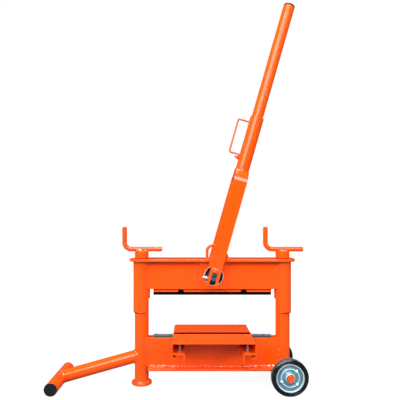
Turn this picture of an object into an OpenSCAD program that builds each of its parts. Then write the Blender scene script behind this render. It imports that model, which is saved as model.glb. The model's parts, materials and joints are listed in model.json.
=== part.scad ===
// Masonry block splitter: hand lever press with a split sprung table, all sizes in mm.
// Z is up from the ground, X runs along the blades, -Y is the side the work is fed from.

/* [Frame] */
// end of the blades to the axis of each post
post_room = 43.5; // [42:0.5:60]
// post tube diameter
post_d = 51; // [48:0.5:54]
// post tube wall
post_wall = 4; // [3:0.5:5]
// height of the post tubes above the ground
post_top = 300; // [296:1:302]
// wall of the sliding sleeves
sleeve_wall = 4.7; // [4:0.1:5.5]
// length of the sliding sleeves
sleeve_len = 183.6; // [178:0.2:186]
// foot plate diameter
foot_d = 74; // [66:1:90]
// foot plate thickness
foot_t = 9; // [6:1:12]

/* [Beams] */
// lower edge of the crosshead plates at the lowest position
cross_low = 228.6; // [226:0.2:232]
// height of the crosshead plates
web_h = 100; // [98:1:104]
// thickness of the beam plates
web_t = 8; // [6:0.5:9]
// space between the beam plates
web_gap = 24; // [24:0.5:26]
// width of the top flange
flange_w = 89; // [80:1:90]
// thickness of the top flange
flange_t = 10; // [8:1:12]
// width of the bottom flange
base_flange_w = 96; // [80:1:110]
// thickness of the bottom flange
base_flange_t = 8; // [6:1:10]
// underside of the bottom flange above the ground
base_z = 60; // [58:1:62]
// height of the lower beam plates
lower_h = 104; // [102:1:104]

/* [Height screws] */
// spindle diameter
spindle_d = 24; // [20:1:26]
// downward travel of the crosshead
travel = 120; // [60:5:120]
// crank hub diameter
hub_d = 50; // [44:1:56]
// crank hub height
hub_h = 26; // [24:1:30]
// crank bar diameter
crank_d = 17; // [14:0.5:17]
// hub axis to the crank's upright
crank_arm = 63; // [56:1:64]
// hub axis to the crank's free end
crank_tail = 75; // [70:1:85]
// bar axis to the top of the upright
crank_rise = 82; // [70:1:83]
// bend radius of the crank bar
crank_bend = 24.5; // [20:0.5:28]

/* [Lever] */
// lean of the lever at rest
lever_lean = 16; // [12:0.5:18]
// working swing of the lever
swing_angle = 95; // [60:5:95]
// pivot to the right of the blade's middle
pivot_x = 4.5; // [3:0.5:8]
// pivot above the plates' lower edge
pivot_up = 48.4; // [47:0.2:50]
// width of the fork legs
leg_w = 50; // [46:1:52]
// fork legs to the left of the pivot
leg_off = 4.7; // [0:0.1:5]
// thickness of the fork legs
leg_t = 8; // [6:0.5:9]
// clear width between the fork legs
fork_gap = 97; // [96:0.5:104]
// pivot to the start of the legs' bend
leg_straight = 351; // [348:1:354]
// inner radius of the legs' bend
leg_round = 18; // [14:1:20]
// pivot to the end of the socket tube
socket_start = 395; // [394:1:400]
// socket tube length
socket_len = 204; // [180:2:240]
// socket tube diameter
socket_d = 49.5; // [48.5:0.5:52]
// lever tube diameter
tube_d = 41.5; // [38:0.5:42.5]
// lever tube wall
tube_wall = 3; // [2:0.5:4]
// pivot to the end of the lever
lever_len = 1028; // [900:2:1100]
// wire diameter of the brush holder
wire_d = 6; // [5:0.5:8]

/* [Blades] */
// length of both blades
blade_len = 430; // [400:2:436]
// height of the blade carrier below the crosshead plates
carrier_drop = 11.4; // [11:0.2:12]
// height of the upper blade below its carrier
blade_h = 12.6; // [12:0.1:13]
// downward press per radian of lever swing
press_rate = 11; // [9:0.5:11]
// height of the lower blade's ridge above its shoulders
ridge_h = 10.5; // [8:0.1:10.5]

/* [Table] */
// table width along the blades
table_w = 285.6; // [276:0.4:300]
// table depth over both halves
table_d = 265.4; // [250:0.4:290]
// slot between the table halves
slot_w = 17; // [16.6:0.2:20]
// table sheet thickness
sheet_t = 3; // [2:0.5:3]
// height of the folded side walls
wall_h = 52; // [50:1:56]
// table travel against its springs
table_travel = 8; // [4:0.5:8]

/* [Outrigger and wheels] */
// blade's middle to the cross bar
brace_reach = 555.5; // [500:0.5:640]
// outrigger tube diameter
brace_d = 45.5; // [40:0.5:48]
// outrigger tube wall
brace_wall = 3; // [2:0.5:4]
// height of the arm's axis at the post's axis
brace_z = 105.6; // [100:0.2:112]
// cross bar length over its plugs
crossbar_len = 220; // [180:2:260]
// cross bar's middle towards the work side
crossbar_off = 14; // [0:1:20]
// wheel diameter
wheel_d = 127; // [120:1:128]
// wheel width
wheel_w = 30; // [28:1:34]
// wheel to wheel, between their middles
track = 232; // [224:2:260]
// axle diameter
axle_d = 20; // [18:0.5:22]

/* [Hidden] */
$fn = 64;
// gap between pieces that slide or move past each other
slide_gap = 0.3;
// end play of turning pieces
end_play = 0.4;
// radial play of a shaft in its bore
run_gap = 0.05;
// how far a cutting shape runs past the face it cuts
past = 1;

post_x = blade_len / 2 + post_room;
post_span = 2 * post_x;
machine_x = (brace_reach + brace_d / 2 - post_x - crank_tail) / 2;
post_in = post_d - 2 * post_wall;
sleeve_in = post_d + 2 * slide_gap;
sleeve_d = sleeve_in + 2 * sleeve_wall;
notch_h = 48;
notch_corner = [10, 11];
right_post_z = 40;

web_in = web_gap / 2;
web_out = web_in + web_t;
notch_half = web_out + 4;
cross_z = cross_low + travel;
flange_z = cross_z + web_h;
sleeve_z = flange_z - sleeve_len;
flange_top = flange_z + flange_t;
lower_z = base_z + base_flange_t;
lower_top = lower_z + lower_h;

nut_flange = 8;
nut_depth = 30;
collar_d = 42;
collar_h = 8;
spindle_below = 8;
spindle_low = post_top - nut_depth - spindle_below;
hub_z = flange_top + end_play;
hub_foot = [40, 2.2];
hub_top = hub_z + hub_h;
bar_sunk = 1.2;
bar_z = hub_top + crank_d / 2 - bar_sunk;
hub_roof = 7;
bore_top = hub_top - hub_roof;

pivot_z = cross_z + pivot_up;
bush_d = 70;
bush_wall = 2;
bush_lip = 0.5;
journal_d = 44;
recess = 4.5;
pivot_plate_w = 100;
pivot_plate_t = 8;
plate_step = 1;
pivot_plate_h = web_h - plate_step;
plate_out = web_out + pivot_plate_t;
bush_out = plate_out + bush_lip;
journal_lip = 0.5;
journal_out = bush_out - recess + journal_lip;
nipple_d = 10;
nipple_h = 12.5;
nipple_edge = 8;
nipple_drop = 4;
spout_d = 6;
spout_len = 13;
spout_head = [7.5, 4];
fork_in = fork_gap / 2;
prong_t = 10;
prong_w = 40;
prong_top = 28;
prong_low = -34;
tang_d = 28;
tang_flat = 20;
slot_top = 15;
slot_corner = 5;
floor_t = 8;
tube_start = socket_start + floor_t + slide_gap;
cap_t = 5.5;
leg_fold = 45;
holder_up = 57;
holder_low = socket_start + holder_up;
holder_h = 125;
holder_room = 39.5;
holder_out = socket_d / 2 + holder_room;
holder_bend = [8, 5];
clamp_up = 46;
clamp_z = socket_start + clamp_up;
clamp_d = 8;
clamp_proud = 15.3;
clamp_end = socket_d / 2 + clamp_proud;
clamp_nut = [15, 6.5];

cam_clear = 1;
cam_base = journal_d / 2 + cam_clear;
cam_half = web_in - end_play;
cam_lead_angle = 20;
cam_trail_angle = 10;
cam_step_angle = 2.5;
carrier_z = cross_z - carrier_drop;
carrier_top = pivot_z - cam_base - slide_gap;
carrier_half = web_in - slide_gap;
ear_x = 114.7;
ear_r = 11.7;
ear_sink = 2.2;
screw_d = 8;
screw_head = [13, 8];
screw_low = 3;
screw_len = 22;
edge_half = 9;
edge_slope = 5;
edge_flat = 1.2;
blade_root = 32;
blade_set = 0.5;
ridge_half = 7.5;
ridge_flat = 1;
stud_x = 165;
stud_d = 10;
stud_root = 20;
stud_play = 1;
stud_head = [20, 8];
seat_z = 388;
seat_t = 6;
seat_w = 28;
lift_len = 34;
lift_coil_r = 8.6;
lift_wire = 2.2;
lift_turns = 5;
loop_x = 18;
loop_half = 38;
loop_d = 10;
loop_bend = 20;
loop_lean = 24;
loop_top = 49.5;
loop_inset = 0.5;
loop_y = flange_w / 2 - loop_d / 2 - loop_inset;

table_z = lower_top + slide_gap + table_travel + sheet_t;
under_z = table_z - sheet_t;
pin_room = 32.8;
bracket_t = 4.5;
bracket_bend = 6;
bracket_top = under_z - pin_room;
bracket_gap = 0.6;
bracket_w = 40.2;
bracket_x = table_w / 2 - sheet_t - bracket_gap;
bracket_drop = 30.5;
bracket_inset = 1.7;
bracket_end = table_d / 2 - bracket_inset;
pin_inset = 22.2;
pin_x = bracket_x - pin_inset;
pin_off = [20, 29];
pin_y = [web_out + pin_off[0], bracket_end - pin_off[1]];
pin_d = 8;
pin_hole = 9;
pin_below = 8.8;
pin_low = bracket_top - pin_below;
pin_clip = [13, 2];
wall_clear = 3;
wall_y = web_out + wall_clear;
lip_w = 10;
fold_r = 4.5;
coil_foot = 0.1;
pin_coil_r = 7.4;
pin_wire = 2;
pin_turns = 6;

cap_flange = 3;
cap_plug = 15;
axle_tube_d = 32;
washer_t = 2.6;
washer_rim = 7;
axle_tube_half = track / 2 - wheel_w / 2 - end_play - washer_t;
axle_cap = [22.5, 5.6];
axle_cap_deep = 1.6;
axle_half = track / 2 + wheel_w / 2 + end_play + axle_cap_deep;
rim_d = 96;
rim_hub = 4;
rim_lip = 2;
// steps of the pressed rim from the hub outward: how far out from the axle, how far below the wheel's face
rim_steps = [[10, 5], [16, 6.5], [18.5, 4], [22, 4], [25, 9], [32, 9], [34.5, 3]];
tyre_round = 9;

orange = [0.95, 0.35, 0.08];
steel = [0.55, 0.58, 0.62];
zinc = [0.75, 0.77, 0.80];
black = [0.08, 0.08, 0.09];

// Shared shapes

module machine() {
  translate([machine_x, 0, 0]) children();
}

module at_post(side, z) {
  translate([side * post_x, 0, z]) children();
}

module both_posts(d) {
  for (side = [-1, 1]) at_post(side, -past) cylinder(d = d, h = flange_top + 2 * past);
}

module tube(d, wall, h) {
  difference() {
    cylinder(d = d, h = h);
    translate([0, 0, -past]) cylinder(d = d - 2 * wall, h = h + 2 * past);
  }
}

// round bar along X, from x0 to x1
module bar_x(d, x0, x1) {
  translate([x0, 0, 0]) rotate([0, 90, 0]) cylinder(d = d, h = x1 - x0);
}

// round bar along Y, centred
module bar_y(d, h) {
  rotate([90, 0, 0]) cylinder(d = d, h = h, center = true);
}

// profile in Y and Z drawn along X, centred
module along_x(len) {
  rotate([90, 0, 90]) linear_extrude(len, center = true) children();
}

// profile in X and Z drawn along Y, from y0 to y1
module along_y(y0, y1) {
  translate([0, y1, 0]) rotate([90, 0, 0]) linear_extrude(y1 - y0) children();
}

// points of a round corner, from one angle to another
function arc(c, r, from, to) = [for (i = [0 : 6]) let (a = from + (to - from) * i / 6) c + r * [cos(a), sin(a)]];

// quarter bend in the X Z plane about the origin, from the -Z side to the -X side
module quarter_bend(r, d) {
  rotate([90, 0, 0]) rotate([0, 0, 180]) rotate_extrude(angle = 90) translate([r, 0]) circle(d = d);
}

// coil spring as one unbroken tube
rings = 8;
sides = 6;

function coil_centre(i, r, w, z0, z1, turns) =
  let (f = i / (turns * rings), a = i * 360 / rings)
  [r * cos(a), r * sin(a), z0 + w / 2 + f * (z1 - z0 - w)];

function coil_ring(i, r, w, z0, z1, turns) =
  let (c = coil_centre(i, r, w, z0, z1, turns), a = i * 360 / rings)
  [for (k = [0 : sides - 1])
    let (b = k * 360 / sides)
    c + w / 2 * [cos(b) * cos(a), cos(b) * sin(a), sin(b)]];

module coil(r, w, z0, z1, turns) {
  last = turns * rings;
  points = [for (i = [0 : last]) each coil_ring(i, r, w, z0, z1, turns)];
  walls = [for (i = [0 : last - 1], k = [0 : sides - 1])
    let (a = i * sides + k, b = i * sides + (k + 1) % sides)
    each [[a, a + sides, b], [b, a + sides, b + sides]]];
  start = [for (k = [1 : sides - 2]) [0, k, k + 1]];
  end = [for (k = [1 : sides - 2]) [last * sides, last * sides + k + 1, last * sides + k]];
  polyhedron(points = points, faces = concat(walls, start, end));
}

// least gap between neighbouring curls, measured on their centre points
function coil_gap(r, w, z0, z1, turns) =
  min([for (i = [0 : (turns - 1) * rings])
    norm(coil_centre(i, r, w, z0, z1, turns) - coil_centre(i + rings, r, w, z0, z1, turns))]) - w;

seat_top = seat_z + seat_t;
lift_coil_z = [seat_top + coil_foot, seat_top + lift_len - slide_gap];
pin_coil_z = [bracket_top + coil_foot, under_z - slide_gap];
echo(lift_spring_gap = coil_gap(lift_coil_r, lift_wire, lift_coil_z[0], lift_coil_z[1], lift_turns));
echo(table_spring_gap = coil_gap(pin_coil_r, pin_wire, pin_coil_z[0], pin_coil_z[1], pin_turns));

// Base frame

module post(side, z0) {
  color(orange) machine() difference() {
    at_post(side, z0) tube(post_d, post_wall, post_top - z0);
    at_post(1, wheel_d / 2) bar_y(axle_tube_d, post_d + 2 * past);
  }
}

module left_post() post(-1, foot_t);
module right_post() post(1, right_post_z);

module spindle_nuts() {
  color(steel) machine() for (side = [-1, 1]) at_post(side, post_top) difference() {
    union() {
      cylinder(d = post_d, h = nut_flange);
      translate([0, 0, -nut_depth]) cylinder(d = post_in, h = nut_depth + past);
    }
    translate([0, 0, -nut_depth - past])
      cylinder(d = spindle_d + 2 * run_gap, h = nut_depth + nut_flange + 2 * past);
  }
}

module left_foot() {
  color(orange) machine() at_post(-1, 0) cylinder(d = foot_d, h = foot_t);
}

module lower_plate(y0) {
  color(orange) machine() difference() {
    translate([-post_x, y0, lower_z]) cube([post_span, web_t, lower_h]);
    both_posts(post_d);
  }
}

module lower_front_plate() lower_plate(-web_out);
module lower_rear_plate() lower_plate(web_in);

module lower_flange() {
  half = post_x - post_d / 2;
  color(orange) machine() difference() {
    translate([-half, -base_flange_w / 2, base_z]) cube([2 * half, base_flange_w, base_flange_t]);
    both_posts(post_d);
  }
}

module lower_blade() {
  root = lower_top - blade_root;
  shoulder = lower_top - blade_set;
  ridge = shoulder + ridge_h;
  color(steel) machine() along_x(blade_len) polygon([
    [-web_in, root], [web_in, root], [web_in, shoulder], [ridge_half, shoulder],
    [ridge_flat, ridge], [-ridge_flat, ridge], [-ridge_half, shoulder], [-web_in, shoulder]
  ]);
}

module crossbar_place() {
  translate([-brace_reach, -crossbar_off, brace_d / 2]) children();
}

module outrigger_arm() {
  run = brace_reach - post_x;
  fall = brace_z - brace_d / 2;
  color(orange) machine() difference() {
    at_post(-1, brace_z) rotate([0, atan2(-run, -fall), 0])
      tube(brace_d, brace_wall, norm([run, fall]));
    both_posts(post_d);
    crossbar_place() bar_y(brace_d, crossbar_len);
  }
}

module outrigger_crossbar() {
  color(orange) machine() crossbar_place() difference() {
    bar_y(brace_d, crossbar_len - 2 * cap_flange);
    bar_y(brace_d - 2 * brace_wall, crossbar_len);
  }
}

module crossbar_plugs() {
  half = crossbar_len / 2;
  color(black) machine() crossbar_place() for (side = [-1, 1]) scale([1, side, 1]) {
    translate([0, half - cap_flange / 2, 0]) bar_y(brace_d, cap_flange);
    translate([0, half - cap_flange - cap_plug / 2 + past / 2, 0])
      bar_y(brace_d - 2 * brace_wall, cap_plug + past);
  }
}

module axle_place() {
  at_post(1, wheel_d / 2) children();
}

module axle_tube() {
  color(orange) machine() axle_place() difference() {
    bar_y(axle_tube_d, 2 * axle_tube_half);
    bar_y(axle_d, 2 * axle_tube_half + 2 * past);
  }
}

module axle() {
  color(steel) machine() axle_place() bar_y(axle_d, 2 * axle_half);
}

module axle_washers() {
  color(zinc) machine() axle_place() for (side = [-1, 1])
    translate([0, side * (axle_tube_half + washer_t / 2), 0]) difference() {
      bar_y(axle_d + 2 * washer_rim, washer_t);
      bar_y(axle_d, washer_t + 2 * past);
    }
}

module axle_caps() {
  inner = axle_half - axle_cap_deep;
  color(orange) machine() axle_place() for (side = [-1, 1]) difference() {
    translate([0, side * (inner + axle_cap[1] / 2), 0]) bar_y(axle_cap[0], axle_cap[1]);
    bar_y(axle_d, 2 * axle_half);
  }
}

module table_bracket() {
  low = bracket_top - bracket_t;
  leg_end = bracket_top - bracket_drop;
  inner = bracket_x - bracket_w;
  bend = [inner + bracket_bend, bracket_top - bracket_bend];
  difference() {
    along_y(-bracket_end, -web_out) polygon(concat(
      [[inner, leg_end], [inner + bracket_t, leg_end]], arc(bend, bracket_bend - bracket_t, 180, 90),
      [[bracket_x, low], [bracket_x, bracket_top]], arc(bend, bracket_bend, 90, 180)
    ));
    for (y = pin_y) translate([pin_x, -y, low - past]) cylinder(d = pin_hole, h = bracket_t + 2 * past);
  }
}

module table_brackets() {
  color(orange) machine() for (sx = [0, 1], sy = [0, 1])
    mirror([sx, 0, 0]) mirror([0, sy, 0]) table_bracket();
}

// Crosshead

module sleeve(side) {
  h = flange_z - sleeve_z;
  color(orange) machine() at_post(side, sleeve_z) difference() {
    tube(sleeve_d, sleeve_wall, h);
    translate([-side * sleeve_d / 2, 0, 0]) along_x(sleeve_d) polygon([
      [-notch_half, -past], [notch_half, -past], [notch_half, notch_h - notch_corner[1]],
      [notch_half - notch_corner[0], notch_h], [notch_corner[0] - notch_half, notch_h],
      [-notch_half, notch_h - notch_corner[1]]
    ]);
  }
}

module left_sleeve() sleeve(-1);
module right_sleeve() sleeve(1);

module top_flange() {
  color(orange) machine() translate([0, 0, flange_z]) linear_extrude(flange_t) difference() {
    union() {
      square([post_span, flange_w], center = true);
      for (side = [-1, 1]) translate([side * post_x, 0]) circle(d = flange_w);
    }
    for (side = [-1, 1]) translate([side * post_x, 0]) circle(d = spindle_d + 2 * run_gap);
  }
}

module pivot_place() {
  translate([pivot_x, 0, pivot_z]) children();
}

module beam_plate(y0) {
  color(orange) machine() difference() {
    translate([-post_x, y0, cross_z]) cube([post_span, web_t, web_h]);
    both_posts(sleeve_d);
    pivot_place() bar_y(bush_d, 2 * web_out + 2 * past);
  }
}

module beam_front_plate() beam_plate(-web_out);
module beam_rear_plate() beam_plate(web_in);

module pivot_plate(y0) {
  color(orange) machine() difference() {
    translate([pivot_x - pivot_plate_w / 2, y0, flange_z - pivot_plate_h])
      cube([pivot_plate_w, pivot_plate_t, pivot_plate_h]);
    pivot_place() bar_y(bush_d, 2 * plate_out + 2 * past);
  }
}

module pivot_plate_front() pivot_plate(-plate_out);
module pivot_plate_rear() pivot_plate(web_out);

module pivot_bushes() {
  length = bush_out - web_in;
  color(zinc) machine() pivot_place() for (side = [-1, 1]) difference() {
    translate([0, side * (web_in + length / 2), 0]) bar_y(bush_d, length);
    bar_y(journal_d + 2 * run_gap, 2 * bush_out + 2 * past);
    translate([0, side * (bush_out - recess / 2 + past / 2), 0])
      bar_y(bush_d - 2 * bush_wall, recess + past);
  }
}

module grease_nipples() {
  face = bush_out - recess;
  color(zinc) machine() pivot_place() for (side = [-1, 1])
    translate([nipple_edge - bush_d / 2, side * face, -nipple_drop]) {
      translate([0, side * nipple_h / 2, 0]) bar_y(nipple_d, nipple_h);
      translate([0, side * (nipple_h - spout_head[0] / 2), 0]) {
        bar_x(spout_d, -spout_len, 0);
        bar_x(spout_head[0], -spout_len, spout_head[1] - spout_len);
      }
    }
}

// one leg stands straight, the other leans in towards the top; the runs reach a little into the bends
module lifting_loop() {
  bend_z = loop_top - loop_bend;
  lean_z = bend_z + loop_bend * sin(loop_lean);
  lean_bend_x = loop_half - lean_z * tan(loop_lean) - loop_bend * cos(loop_lean);
  run_d = loop_d - 2 * run_gap;
  color(orange) machine() translate([loop_x, -loop_y, flange_top]) {
    translate([-loop_half, 0, 0]) cylinder(d = loop_d, h = bend_z);
    translate([loop_bend - loop_half, 0, bend_z]) mirror([0, 0, 1]) quarter_bend(loop_bend, loop_d);
    translate([0, 0, loop_top]) bar_x(run_d, loop_bend - loop_half - past, lean_bend_x + past);
    translate([lean_bend_x, 0, bend_z]) rotate([90, 0, 0]) rotate([0, 0, loop_lean])
      rotate_extrude(angle = 90 - loop_lean) translate([loop_bend, 0]) circle(d = loop_d);
    difference() {
      translate([loop_half, 0, 0]) rotate([0, -loop_lean, 0]) translate([0, 0, -loop_d])
        cylinder(d = run_d, h = lean_z / cos(loop_lean) + loop_d + past);
      translate([loop_half, 0, -loop_d]) cube([4 * loop_d, 4 * loop_d, 2 * loop_d], center = true);
    }
  }
}

module spring_seats() {
  color(steel) machine() for (side = [-1, 1]) translate([side * stud_x, 0, seat_z]) difference() {
    translate([-seat_w / 2, -web_in, 0]) cube([seat_w, web_gap, seat_t]);
    translate([0, 0, -past]) cylinder(d = stud_d + stud_play, h = seat_t + 2 * past);
  }
}

// Height cranks

module crank_bar(side) {
  color(orange) machine() at_post(side, bar_z) {
    bar_x(crank_d, crank_bend - crank_arm, crank_tail);
    translate([crank_bend - crank_arm, 0, crank_bend]) quarter_bend(crank_bend, crank_d);
    translate([-crank_arm, 0, crank_bend]) cylinder(d = crank_d, h = crank_rise - crank_bend);
  }
}

module crank_hub(side) {
  color(orange) machine() at_post(side, 0) difference() {
    union() {
      translate([0, 0, hub_z]) cylinder(d = hub_foot[0], h = hub_h);
      translate([0, 0, hub_z + hub_foot[1]]) cylinder(d = hub_d, h = hub_h - hub_foot[1]);
    }
    translate([0, 0, hub_z - past]) cylinder(d = spindle_d, h = bore_top - hub_z + past);
    translate([0, 0, bar_z]) bar_x(crank_d, -hub_d, hub_d);
  }
}

module spindle(side) {
  color(steel) machine() at_post(side, spindle_low) cylinder(d = spindle_d, h = bore_top - spindle_low);
}

module collar(side) {
  color(steel) machine() at_post(side, flange_z - end_play - collar_h)
    tube(collar_d, (collar_d - spindle_d) / 2, collar_h);
}

module left_crank_bar() crank_bar(-1);
module left_crank_hub() crank_hub(-1);
module left_spindle() spindle(-1);
module left_collar() collar(-1);
module right_crank_bar() crank_bar(1);
module right_crank_hub() crank_hub(1);
module right_spindle() spindle(1);
module right_collar() collar(1);

// Lever

module lever_place() {
  pivot_place() rotate([0, lever_lean, 0]) children();
}

module arm_place() {
  lever_place() translate([-leg_off, 0, 0]) children();
}

// one face of a leg: straight up, round the bend, then slanting in to the underside of the socket
function leg_face(r) =
  let (
    round_y = fork_in - leg_round,
    bend = [for (a = [0 : leg_fold / 6 : leg_fold]) [round_y + r * cos(a), leg_straight + r * sin(a)]],
    last = bend[len(bend) - 1],
    slant = [last[0] - (socket_start - last[1]) * tan(leg_fold), socket_start]
  )
  concat([[round_y + r, prong_top]], bend, [slant]);

module fork_leg(side) {
  outer = leg_face(leg_round + leg_t);
  inner = leg_face(leg_round);
  back = [for (i = [len(inner) - 1 : -1 : 0]) inner[i]];
  color(orange) machine() arm_place() along_x(leg_w) scale([side, 1]) polygon(concat(outer, back));
}

module fork_leg_front() fork_leg(-1);
module fork_leg_rear() fork_leg(1);

module prong_outline() {
  half = tang_flat / 2;
  difference() {
    translate([-prong_w / 2, prong_low]) square([prong_w, prong_top - prong_low]);
    translate([-half, prong_low - past]) square([tang_flat, slot_top - slot_corner - prong_low + past]);
    translate([slot_corner - half, 0]) square([tang_flat - 2 * slot_corner, slot_top]);
    for (side = [-1, 1]) translate([side * (half - slot_corner), slot_top - slot_corner])
      circle(r = slot_corner);
  }
}

module fork_prongs() {
  color(orange) machine() lever_place() {
    along_y(-fork_in - prong_t, -fork_in) prong_outline();
    along_y(fork_in, fork_in + prong_t) prong_outline();
  }
}

// edge of the cam: its reach grows evenly with the angle, so the press is even too
function cam_point(a) =
  let (reach = cam_base + press_rate * a * PI / 180)
  [-reach * sin(a) - press_rate * cos(a), press_rate * sin(a) - reach * cos(a)];

module cam_outline() {
  edge = [for (a = [-cam_lead_angle : cam_step_angle : swing_angle + cam_trail_angle]) cam_point(a)];
  polygon(concat([[0, 0]], edge));
  circle(r = cam_base - slide_gap);
}

module cam_shaft() {
  tang_end = fork_in + prong_t;
  color(steel) machine() pivot_place() {
    along_y(-cam_half, cam_half) cam_outline();
    bar_y(journal_d, 2 * journal_out);
    intersection() {
      bar_y(tang_d, 2 * tang_end);
      rotate([0, lever_lean, 0]) cube([tang_flat, 2 * tang_end + 2 * past, 2 * tang_d], center = true);
    }
  }
}

module lever_socket() {
  color(orange) machine() arm_place() difference() {
    translate([0, 0, socket_start]) cylinder(d = socket_d, h = socket_len);
    translate([0, 0, socket_start + floor_t]) cylinder(d = tube_d + 2 * slide_gap, h = socket_len);
    translate([0, 0, clamp_z]) bar_x(clamp_d, -socket_d, 0);
  }
}

module socket_round() {
  translate([0, 0, socket_start]) cylinder(d = socket_d, h = socket_len);
}

module brush_holder() {
  holder_top = holder_low + holder_h;
  low = holder_bend[0];
  high = holder_bend[1];
  color(orange) machine() arm_place() difference() {
    union() {
      translate([0, 0, holder_low]) bar_x(wire_d, low - holder_out, 0);
      translate([low - holder_out, 0, holder_low + low]) quarter_bend(low, wire_d);
      translate([-holder_out, 0, holder_low + low]) cylinder(d = wire_d, h = holder_h - low - high);
      translate([high - holder_out, 0, holder_top - high]) mirror([0, 0, 1]) quarter_bend(high, wire_d);
      translate([0, 0, holder_top]) bar_x(wire_d, high - holder_out, 0);
    }
    socket_round();
  }
}

module clamp_screw() {
  color(orange) machine() arm_place() {
    translate([0, 0, clamp_z]) bar_x(clamp_d, -clamp_end, -tube_d / 2 - slide_gap);
    difference() {
      translate([-socket_d / 2 - clamp_nut[1], 0, clamp_z]) rotate([0, 90, 0])
        cylinder(d = clamp_nut[0], h = 2 * clamp_nut[1], $fn = 6);
      socket_round();
      translate([0, 0, clamp_z]) bar_x(clamp_d + 2 * run_gap, -2 * clamp_end, 0);
    }
  }
}

module lever_tube() {
  color(orange) machine() arm_place() translate([0, 0, tube_start])
    tube(tube_d, tube_wall, lever_len - cap_t - tube_start);
}

module lever_cap() {
  color(black) machine() arm_place() {
    translate([0, 0, lever_len - cap_t]) cylinder(d = tube_d, h = cap_t);
    translate([0, 0, lever_len - cap_t - cap_plug])
      cylinder(d = tube_d - 2 * tube_wall, h = cap_plug + past);
  }
}

// Blade carriage

module ears(length) {
  for (side = [-1, 1]) translate([side * ear_x, 0, carrier_z - ear_sink]) bar_y(2 * ear_r, length);
}

module blade_carrier() {
  h = carrier_top - carrier_z;
  color(orange) machine() difference() {
    translate([-blade_len / 2, -carrier_half, carrier_z]) cube([blade_len, 2 * carrier_half, h]);
    ears(2 * carrier_half + 2 * past);
    blade_screws(carrier_top);
    lift_stud_shanks();
  }
}

// screws from above into the blade's ears, with the heads' holes open up to a given height
module blade_screws(top) {
  for (side = [-1, 1]) translate([side * ear_x, 0, carrier_z + screw_low]) {
    cylinder(d = screw_d, h = screw_len + past);
    translate([0, 0, screw_len]) cylinder(d = screw_head[0], h = top - carrier_z - screw_low - screw_len);
  }
}

module upper_blade() {
  low = carrier_z - blade_h;
  color(black) machine() difference() {
    union() {
      along_x(blade_len) polygon([
        [-edge_half, carrier_z], [-edge_half, low + edge_slope], [-edge_flat, low],
        [edge_flat, low], [edge_half, low + edge_slope], [edge_half, carrier_z]
      ]);
      intersection() {
        ears(2 * carrier_half);
        translate([-blade_len / 2, -web_gap, carrier_z - past])
          cube([blade_len, 2 * web_gap, ear_r + 2 * past]);
      }
    }
    blade_screws(carrier_top);
  }
}

module upper_blade_screws() {
  color(black) machine() blade_screws(carrier_z + screw_low + screw_len + screw_head[1]);
}

module lift_stud_shanks() {
  root = carrier_top - stud_root;
  for (side = [-1, 1]) translate([side * stud_x, 0, root])
    cylinder(d = stud_d, h = seat_top + lift_len - root);
}

module lift_studs() {
  color(zinc) machine() {
    lift_stud_shanks();
    for (side = [-1, 1]) translate([side * stud_x, 0, seat_top + lift_len])
      cylinder(d = stud_head[0], h = stud_head[1]);
  }
}

module return_springs() {
  color(steel) machine() for (side = [-1, 1]) translate([side * stud_x, 0, 0])
    coil(lift_coil_r, lift_wire, lift_coil_z[0], lift_coil_z[1], lift_turns);
}

// Split table, drawn as the front half

module table_half() {
  outer = table_w / 2;
  inner = outer - sheet_t;
  flat = outer - fold_r;
  low = table_z - wall_h;
  end = table_d / 2;
  high_fold = [flat, table_z - fold_r];
  low_fold = [flat, low + fold_r];
  right = concat(
    arc(high_fold, fold_r, 90, 0), arc(low_fold, fold_r, 0, -90),
    [[inner - lip_w, low], [inner - lip_w, low + sheet_t]],
    arc(low_fold, fold_r - sheet_t, -90, 0), arc(high_fold, fold_r - sheet_t, 0, 90)
  );
  left = [for (i = [len(right) - 1 : -1 : 0]) [-right[i][0], right[i][1]]];
  along_y(-end, -wall_y) polygon(concat(right, left));
  along_y(-wall_y, -slot_w / 2) translate([-outer, under_z]) square([table_w, sheet_t]);
}

module at_pins(places) {
  for (side = [-1, 1], y = places) translate([side * pin_x, -y, 0]) children();
}

module table_half_studs() {
  clip_z = bracket_top - bracket_t - slide_gap - pin_clip[1];
  at_pins(pin_y) {
    translate([0, 0, pin_low]) cylinder(d = pin_d, h = under_z - pin_low);
    translate([0, 0, clip_z]) difference() {
      cylinder(d = pin_clip[0], h = pin_clip[1]);
      translate([0, 0, -past]) cylinder(d = pin_d + 2 * run_gap, h = pin_clip[1] + 2 * past);
    }
  }
}

// only the studs next to the beam carry springs
module table_half_springs() {
  at_pins([pin_y[0]]) coil(pin_coil_r, pin_wire, pin_coil_z[0], pin_coil_z[1], pin_turns);
}

module table_front() color(orange) machine() table_half();
module table_front_studs() color(zinc) machine() table_half_studs();
module table_front_springs() color(steel) machine() table_half_springs();
module table_rear() color(orange) machine() mirror([0, 1, 0]) table_half();
module table_rear_studs() color(zinc) machine() mirror([0, 1, 0]) table_half_studs();
module table_rear_springs() color(steel) machine() mirror([0, 1, 0]) table_half_springs();

// Wheels

module wheel_place(side) {
  axle_place() translate([0, side * track / 2, 0]) rotate([90, 0, 0]) children();
}

// ring whose section is given from the inside out for one face, and alike for the other
module wheel_ring(face) {
  back = [for (i = [len(face) - 1 : -1 : 0]) [face[i][0], -face[i][1]]];
  rotate_extrude() polygon(concat(face, back));
}

module tyre(side) {
  w = wheel_w / 2;
  round_r = wheel_d / 2 - tyre_round;
  shoulder = [for (a = [0 : 22.5 : 90]) [round_r + tyre_round * sin(a), w - tyre_round * (1 - cos(a))]];
  color(black) machine() wheel_place(side) wheel_ring(concat([[rim_d / 2, w - rim_lip]], shoulder));
}

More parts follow.
